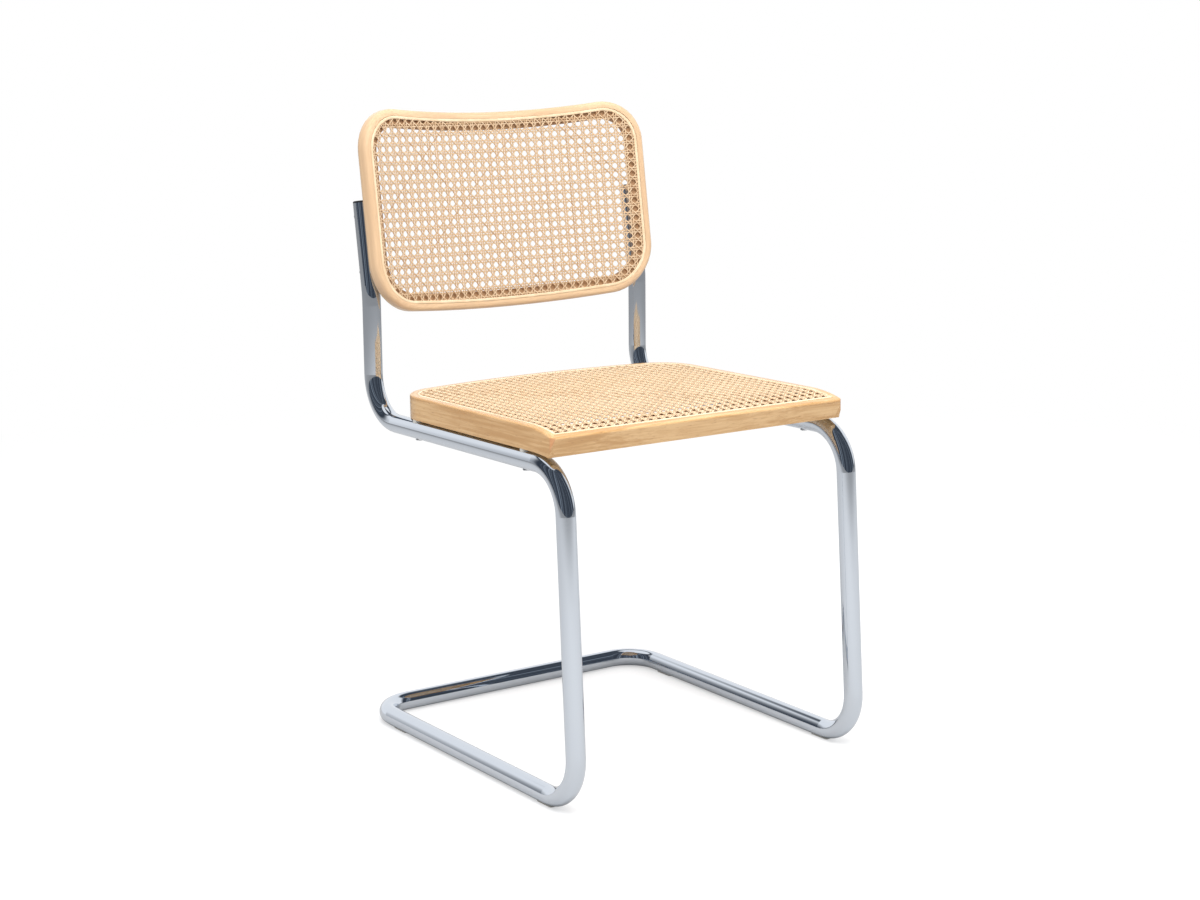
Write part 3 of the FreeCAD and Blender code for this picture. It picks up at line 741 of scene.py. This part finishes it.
def woven(name, low, high, phase, planes, bend, materials, cane_size, bowed):
    # The four layers of a panel between two corners. The phase is the place of one hole's middle.
    columns = range(math.floor((low.x - phase.x) / PITCH) - 1, math.ceil((high.x - phase.x) / PITCH) + 2)
    rows = range(math.floor((low.y - phase.y) / PITCH) - 1, math.ceil((high.y - phase.y) / PITCH) + 2)
    pieces = []

    def finish(kind, field):
        if bowed:
            dipped(field, -1)
        trim(field, planes)
        if bowed:
            dipped(field, 1)
        bmesh.ops.translate(field, verts=field.verts, vec=(0, 0, -REBATE / 2))
        pieces.append(finished(name + "_" + kind, field, materials[kind], bend))

    finish("uprights", locked_pairs(columns, rows, phase, False, cane_size))
    finish("crosswise", locked_pairs(rows, columns, phase, True, cane_size))
    reach = (low.y, high.y)
    finish("rising", diagonals(columns, rows, phase, 1, reach, cane_size))
    finish("falling", diagonals(columns, rows, phase, -1, reach, cane_size))
    return pieces


# Wooden ring and reeds: a plate trimmed to the outline, then worked inwards
def plate(planes):
    # One flat face, with its long edges divided so that it can bend
    field = bmesh.new()
    bmesh.ops.create_grid(field, x_segments=1, y_segments=1, size=1)
    for point, outward in planes:
        parts = field.verts[:] + field.edges[:] + field.faces[:]
        bmesh.ops.bisect_plane(field, geom=parts, dist=PLATE_CLOSE, plane_co=point, plane_no=outward,
                               clear_outer=True)
    for edge in field.edges[:]:
        cuts = int(edge.calc_length() / OUTLINE_STEP)
        if cuts:
            bmesh.ops.subdivide_edges(field, edges=[edge], cuts=cuts)
    return field


def facing(field, way):
    # The largest face that looks up or down
    bmesh.ops.recalc_face_normals(field, faces=field.faces[:])
    faces = [face for face in field.faces if face.normal.z * way > LEVEL_FACE]
    return max(faces, key=lambda face: face.calc_area())


def thicken(field, depth):
    # Draws the faces down into a closed block.
    made = bmesh.ops.extrude_face_region(field, geom=field.faces[:], use_keep_orig=True)
    lower = [item for item in made["geom"] if isinstance(item, bmesh.types.BMVert)]
    bmesh.ops.translate(field, verts=lower, vec=(0, 0, -depth))


def narrow(field, way, width):
    bmesh.ops.inset_region(field, faces=[facing(field, way)], thickness=width, use_even_offset=True,
                           use_boundary=True)


def sink(field, depth):
    sunk = bmesh.ops.extrude_discrete_faces(field, faces=[facing(field, 1)])["faces"][0]
    bmesh.ops.translate(field, verts=sunk.verts, vec=(0, 0, -depth))


def rounded(field, edges, radius):
    bmesh.ops.bevel(field, geom=edges, offset=radius, segments=ROUND_STEPS, profile=0.5, affect="EDGES",
                    material=-1)


def back_ring(material, under_cane):
    # Rounded outside, with a groove for the reed, a bed for the cane and an open window
    field = plate(back_planes(0))
    dipped(field, 1)
    thicken(field, BACK_T)
    rounded(field, facing(field, 1).edges[:] + facing(field, -1).edges[:], BACK_ROUND)
    narrow(field, 1, RIM - BACK_ROUND)
    sink(field, GROOVE_DEPTH)
    narrow(field, 1, GROOVE)
    sink(field, BED_SINK - GROOVE_DEPTH)
    narrow(field, 1, BACK_RAIL - RIM - GROOVE)
    # The bed's faces take the second material, whose darker browns are painted shade under the cane
    for face in field.faces:
        if abs(face.calc_center_median().z + BED_SINK) < LEVEL_CLOSE and face.normal.z > LEVEL_FACE:
            face.material_index = 1
    narrow(field, -1, BACK_RAIL - BACK_ROUND)
    rear_window = facing(field, -1).edges[:]
    bmesh.ops.delete(field, geom=[facing(field, 1), facing(field, -1)], context="FACES_ONLY")
    bmesh.ops.bridge_loops(field, edges=[edge for edge in field.edges if edge.is_boundary])
    rounded(field, rear_window, WINDOW_ROUND)
    ring = finished("back_ring", field, material, stand_as_back)
    ring.data.materials.append(under_cane)
    return ring


def reed_strip(name, planes, bowed, bend, material, kept=None):
    # A crowned strip that fills the groove, or the part of it that is kept
    field = plate(planes)
    if bowed:
        dipped(field, 1)
    narrow(field, 1, GROOVE - 2 * REED_FIT)
    spare = [facing(field, 1)]
    if kept:
        spare += [face for face in field.faces if face not in spare and not kept(face.calc_center_median())]
    bmesh.ops.delete(field, geom=spare, context="FACES")
    thicken(field, GROOVE_DEPTH)
    bmesh.ops.recalc_face_normals(field, faces=field.faces[:])
    crown = [edge for edge in field.edges if all(vert.co.z > -REED_FIT for vert in edge.verts)
             and any(abs(face.normal.z) < UPRIGHT_FACE for face in edge.link_faces)]
    rounded(field, crown, REED_ROUND)
    bmesh.ops.translate(field, verts=field.verts[:], vec=(0, 0, REED_PROUD))
    return finished(name, field, material, bend)


def in_front_mitre(point):
    return point.y < SEAT_HALF - abs(point.x)


def floor_paper():
    # White to the camera, with the chair's shadow on it. In reflections it is pale paper that dims far away.
    bm = bmesh.new()
    bmesh.ops.create_grid(bm, x_segments=1, y_segments=1, size=FLOOR_HALF)
    mesh = bpy.data.meshes.new("studio_floor")
    bm.to_mesh(mesh)
    bm.free()
    floor = bpy.data.objects.new("studio_floor", mesh)
    bpy.context.scene.collection.objects.link(floor)
    material, tree, place = new_material("studio_paper")
    away = node(tree, "ShaderNodeVectorMath", operation="LENGTH")
    link(tree, place, away.inputs[0])
    path = node(tree, "ShaderNodeLightPath")
    seen = math_node(tree, "MAXIMUM", path.outputs["Is Camera Ray"], path.outputs["Is Transmission Ray"])
    plain = node(tree, "ShaderNodeBsdfDiffuse")
    far = map_range(tree, away.outputs["Value"], PAPER_NEAR, PAPER_FAR, PAPER, PAPER_DIM)
    link(tree, far, plain.inputs["Color"])
    shadow = node(tree, "ShaderNodeBsdfDiffuse", {"Color": (FLOOR_SHADE, FLOOR_SHADE, FLOOR_SHADE, 1)})
    glow = node(tree, "ShaderNodeEmission", {"Strength": FLOOR_GLOW})
    near = node(tree, "ShaderNodeAddShader")
    link(tree, shadow.outputs[0], near.inputs[0])
    link(tree, glow.outputs[0], near.inputs[1])
    white = node(tree, "ShaderNodeEmission")
    backdrop = node(tree, "ShaderNodeMixShader")
    link(tree, map_range(tree, away.outputs["Value"], CLEAR_NEAR, CLEAR_FAR), backdrop.inputs[0])
    link(tree, near.outputs[0], backdrop.inputs[1])
    link(tree, white.outputs[0], backdrop.inputs[2])
    mixed = node(tree, "ShaderNodeMixShader")
    link(tree, seen, mixed.inputs[0])
    link(tree, plain.outputs[0], mixed.inputs[1])
    link(tree, backdrop.outputs[0], mixed.inputs[2])
    output = node(tree, "ShaderNodeOutputMaterial")
    link(tree, mixed.outputs[0], output.inputs["Surface"])
    mesh.materials.append(material)


def studio_world():
    # White to the camera, with soft light from above. The chrome sees a dark, streaked room, with a white
    # backdrop behind the chair and a softbox overhead.
    world = bpy.data.worlds.new("studio")
    bpy.context.scene.world = world
    world.use_nodes = True
    tree = world.node_tree
    tree.nodes.clear()
    coords = node(tree, "ShaderNodeTexCoord")
    split = parted(tree, coords.outputs["Generated"])
    path = node(tree, "ShaderNodeLightPath")
    behind = math_node(tree, "ADD", math_node(tree, "MULTIPLY", split["X"], -math.sin(CAMERA_TURN)),
                       math_node(tree, "MULTIPLY", split["Y"], math.cos(CAMERA_TURN)))
    low = math_node(tree, "SUBTRACT", 1.0, map_range(tree, split["Z"], *BACKDROP_TOP))
    backdrop = math_node(tree, "MULTIPLY", map_range(tree, behind, *BACKDROP_SIDE), low)
    aim = node(tree, "ShaderNodeVectorMath", operation="DOT_PRODUCT")
    aim.inputs[1].default_value = SOFTBOX_AIM
    link(tree, coords.outputs["Generated"], aim.inputs[0])
    softbox = map_range(tree, aim.outputs["Value"], *SOFTBOX_EDGE)
    bright = math_node(tree, "MAXIMUM", backdrop, softbox)
    level = node(tree, "ShaderNodeVectorMath", operation="MULTIPLY")
    level.inputs[1].default_value = (1, 1, 0)
    link(tree, coords.outputs["Generated"], level.inputs[0])
    bearing = node(tree, "ShaderNodeVectorMath", operation="NORMALIZE")
    link(tree, level.outputs["Vector"], bearing.inputs[0])
    streaks = map_range(tree, noise(tree, bearing.outputs["Vector"], *STREAK_NOISE), *STREAK_EDGE)
    dark = mix_colour(tree, streaks, STUDIO_DARK, STUDIO_STREAK)
    studio = mix_colour(tree, bright, dark, STUDIO_WHITE)
    soft = mix_colour(tree, map_range(tree, split["Z"], *LEVEL_TO_TOP), LEVEL_LIGHT, TOP_LIGHT)
    seen = mix_colour(tree, path.outputs["Is Glossy Ray"], soft, studio)
    white = math_node(tree, "MAXIMUM", path.outputs["Is Camera Ray"], path.outputs["Is Transmission Ray"])
    colour = mix_colour(tree, white, seen, (1, 1, 1, 1))
    light = node(tree, "ShaderNodeBackground", {"Strength": 1.0})
    link(tree, colour, light.inputs["Color"])
    output = node(tree, "ShaderNodeOutputWorld")
    link(tree, light.outputs[0], output.inputs["Surface"])


def look(place, aim):
    direction = (aim - place).normalized()
    turn = direction.to_track_quat("-Z", "Y")
    return Matrix.Translation(place) @ turn.to_matrix().to_4x4()


def lamp(name, place, aim, size, power):
    light = bpy.data.lights.new(name, "AREA")
    light.shape = "SQUARE"
    light.size = size
    light.energy = power
    holder = bpy.data.objects.new(name, light)
    holder.matrix_world = look(Vector(place), Vector(aim))
    holder.visible_glossy = False
    bpy.context.scene.collection.objects.link(holder)


def camera():
    # Stands where the photograph was taken.
    data = bpy.data.cameras.new("camera")
    data.lens = LENS_MM
    data.sensor_width = SENSOR_MM
    data.shift_x = SHIFT_X
    holder = bpy.data.objects.new("camera", data)
    level = math.cos(CAMERA_DOWN)
    ahead = Vector((-math.sin(CAMERA_TURN) * level, math.cos(CAMERA_TURN) * level, -math.sin(CAMERA_DOWN)))
    right = Vector((math.cos(CAMERA_TURN), math.sin(CAMERA_TURN), 0))
    up = right.cross(ahead)
    c, s = math.cos(CAMERA_ROLL), math.sin(CAMERA_ROLL)
    right, up = right * c + up * s, up * c - right * s
    turn = Matrix((right, up, -ahead)).transposed().to_4x4()
    holder.matrix_world = Matrix.Translation(CAMERA_PLACE) @ turn
    bpy.context.scene.collection.objects.link(holder)
    bpy.context.scene.camera = holder


def panels():
    # The two woven panels, each in four layers of strands
    colours = {
        "uprights": cane("cane_uprights", (CANE_ACROSS, CANE_ALONG, CANE_ACROSS)),
        "crosswise": cane("cane_crosswise", (CANE_ALONG, CANE_ACROSS, CANE_ACROSS)),
        "rising": cane("cane_rising", (CANE_SLANTED, CANE_SLANTED, CANE_SLANTED)),
        "falling": cane("cane_falling", (CANE_SLANTED, CANE_SLANTED, CANE_SLANTED)),
    }
    weave_ride("seat_cane", woven("seat_weave", Vector((-SEAT_HALF, 0)), Vector((SEAT_HALF, SEAT_D)),
                                  Vector((PITCH / 2, SEAT_FIRST_ROW)), seat_planes(WEAVE_EDGE), lay_on_seat,
                                  colours, SEAT_STRAND, False))
    reach = Vector((BACK_ARC, BACK_H / 2 + BACK_TOP_DIP))
    weave_ride("back_cane", woven("back_weave", -reach, reach, Vector((PITCH / 2, BACK_ROW_SHIFT)),
                                  back_planes(WEAVE_EDGE), stand_as_back, colours, BACK_STRAND, True))


def weave_ride(replaced, pieces):
    for piece in pieces:
        carried(piece, replaced)


def carried(piece, replaced):
    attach(piece, "root")
    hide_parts(replaced)


def reeds():
    edge = RIM + REED_FIT
    material = reed("split_reed")
    carried(reed_strip("seat_reed_front", seat_planes(edge), False, lay_on_seat, material, in_front_mitre),
            "seat_spline_front")
    carried(reed_strip("seat_reed_bent", seat_planes(edge), False, lay_on_seat, material,
                       lambda point: not in_front_mitre(point)), "seat_spline_bent")
    carried(reed_strip("back_reed", back_planes(edge), True, stand_as_back, material), "back_spline")


def finishes():
    # Every solid that stays gets its material, and the back's ring takes the place of its solid.
    seat_middle = Vector((0, SEAT_FRONT + SEAT_D / 2, SEAT_TOP))
    seat_corner = Vector((0, SEAT_FRONT, SEAT_TOP))
    tilt = (-SEAT_TILT, 0, 0)
    # The bent rail has no front: its course runs on past the front edge, so the sides stay straight
    seat_course = ((SEAT_HALF, SEAT_D, 0), SEAT_CORNER_R)
    dress("seat_bent_rail", wood("beech_bent_rail", seat_corner, tilt, seat_course, seat_rail=True))
    dress("seat_front_rail", wood("beech_front_rail", seat_corner, tilt, seat_rail=True))
    dress("seat_dowels", wood("dowel_beech", seat_middle))
    upright = (math.pi / 2 - BACK_LEAN, 0, 0)
    back_course = ((BACK_HALF, BACK_H / 2, 0), BACK_CORNER_R)
    back_wood = wood("beech_back_ring", BACK_MIDDLE, upright, back_course, BACK_ASHEN)
    dress("back_frame", back_wood)
    # The bed under the back's cane takes browns of painted shade
    carried(back_ring(back_wood, shaded_bed_wood("bed_painted_shade")), "back_frame")
    dress("tube_frame", chrome("chromed_tube"))
    dress("post_plugs", plastic("black_plug", PLUG_BLACK, PLUG_ROUGHNESS))
    for name in ("floor_glides", "seat_saddles", "back_saddles"):
        dress(name, plastic("natural_nylon", NYLON, NYLON_ROUGHNESS))
    for name in ("seat_screws", "back_screws"):
        dress(name, screw_steel("bright_zinc"))


camera()
floor_paper()
studio_world()
lamp("key", *KEY_LAMP)
lamp("fill", *FILL_LAMP)
finishes()
reeds()
panels()
bpy.context.scene.view_settings.view_transform = "Standard"
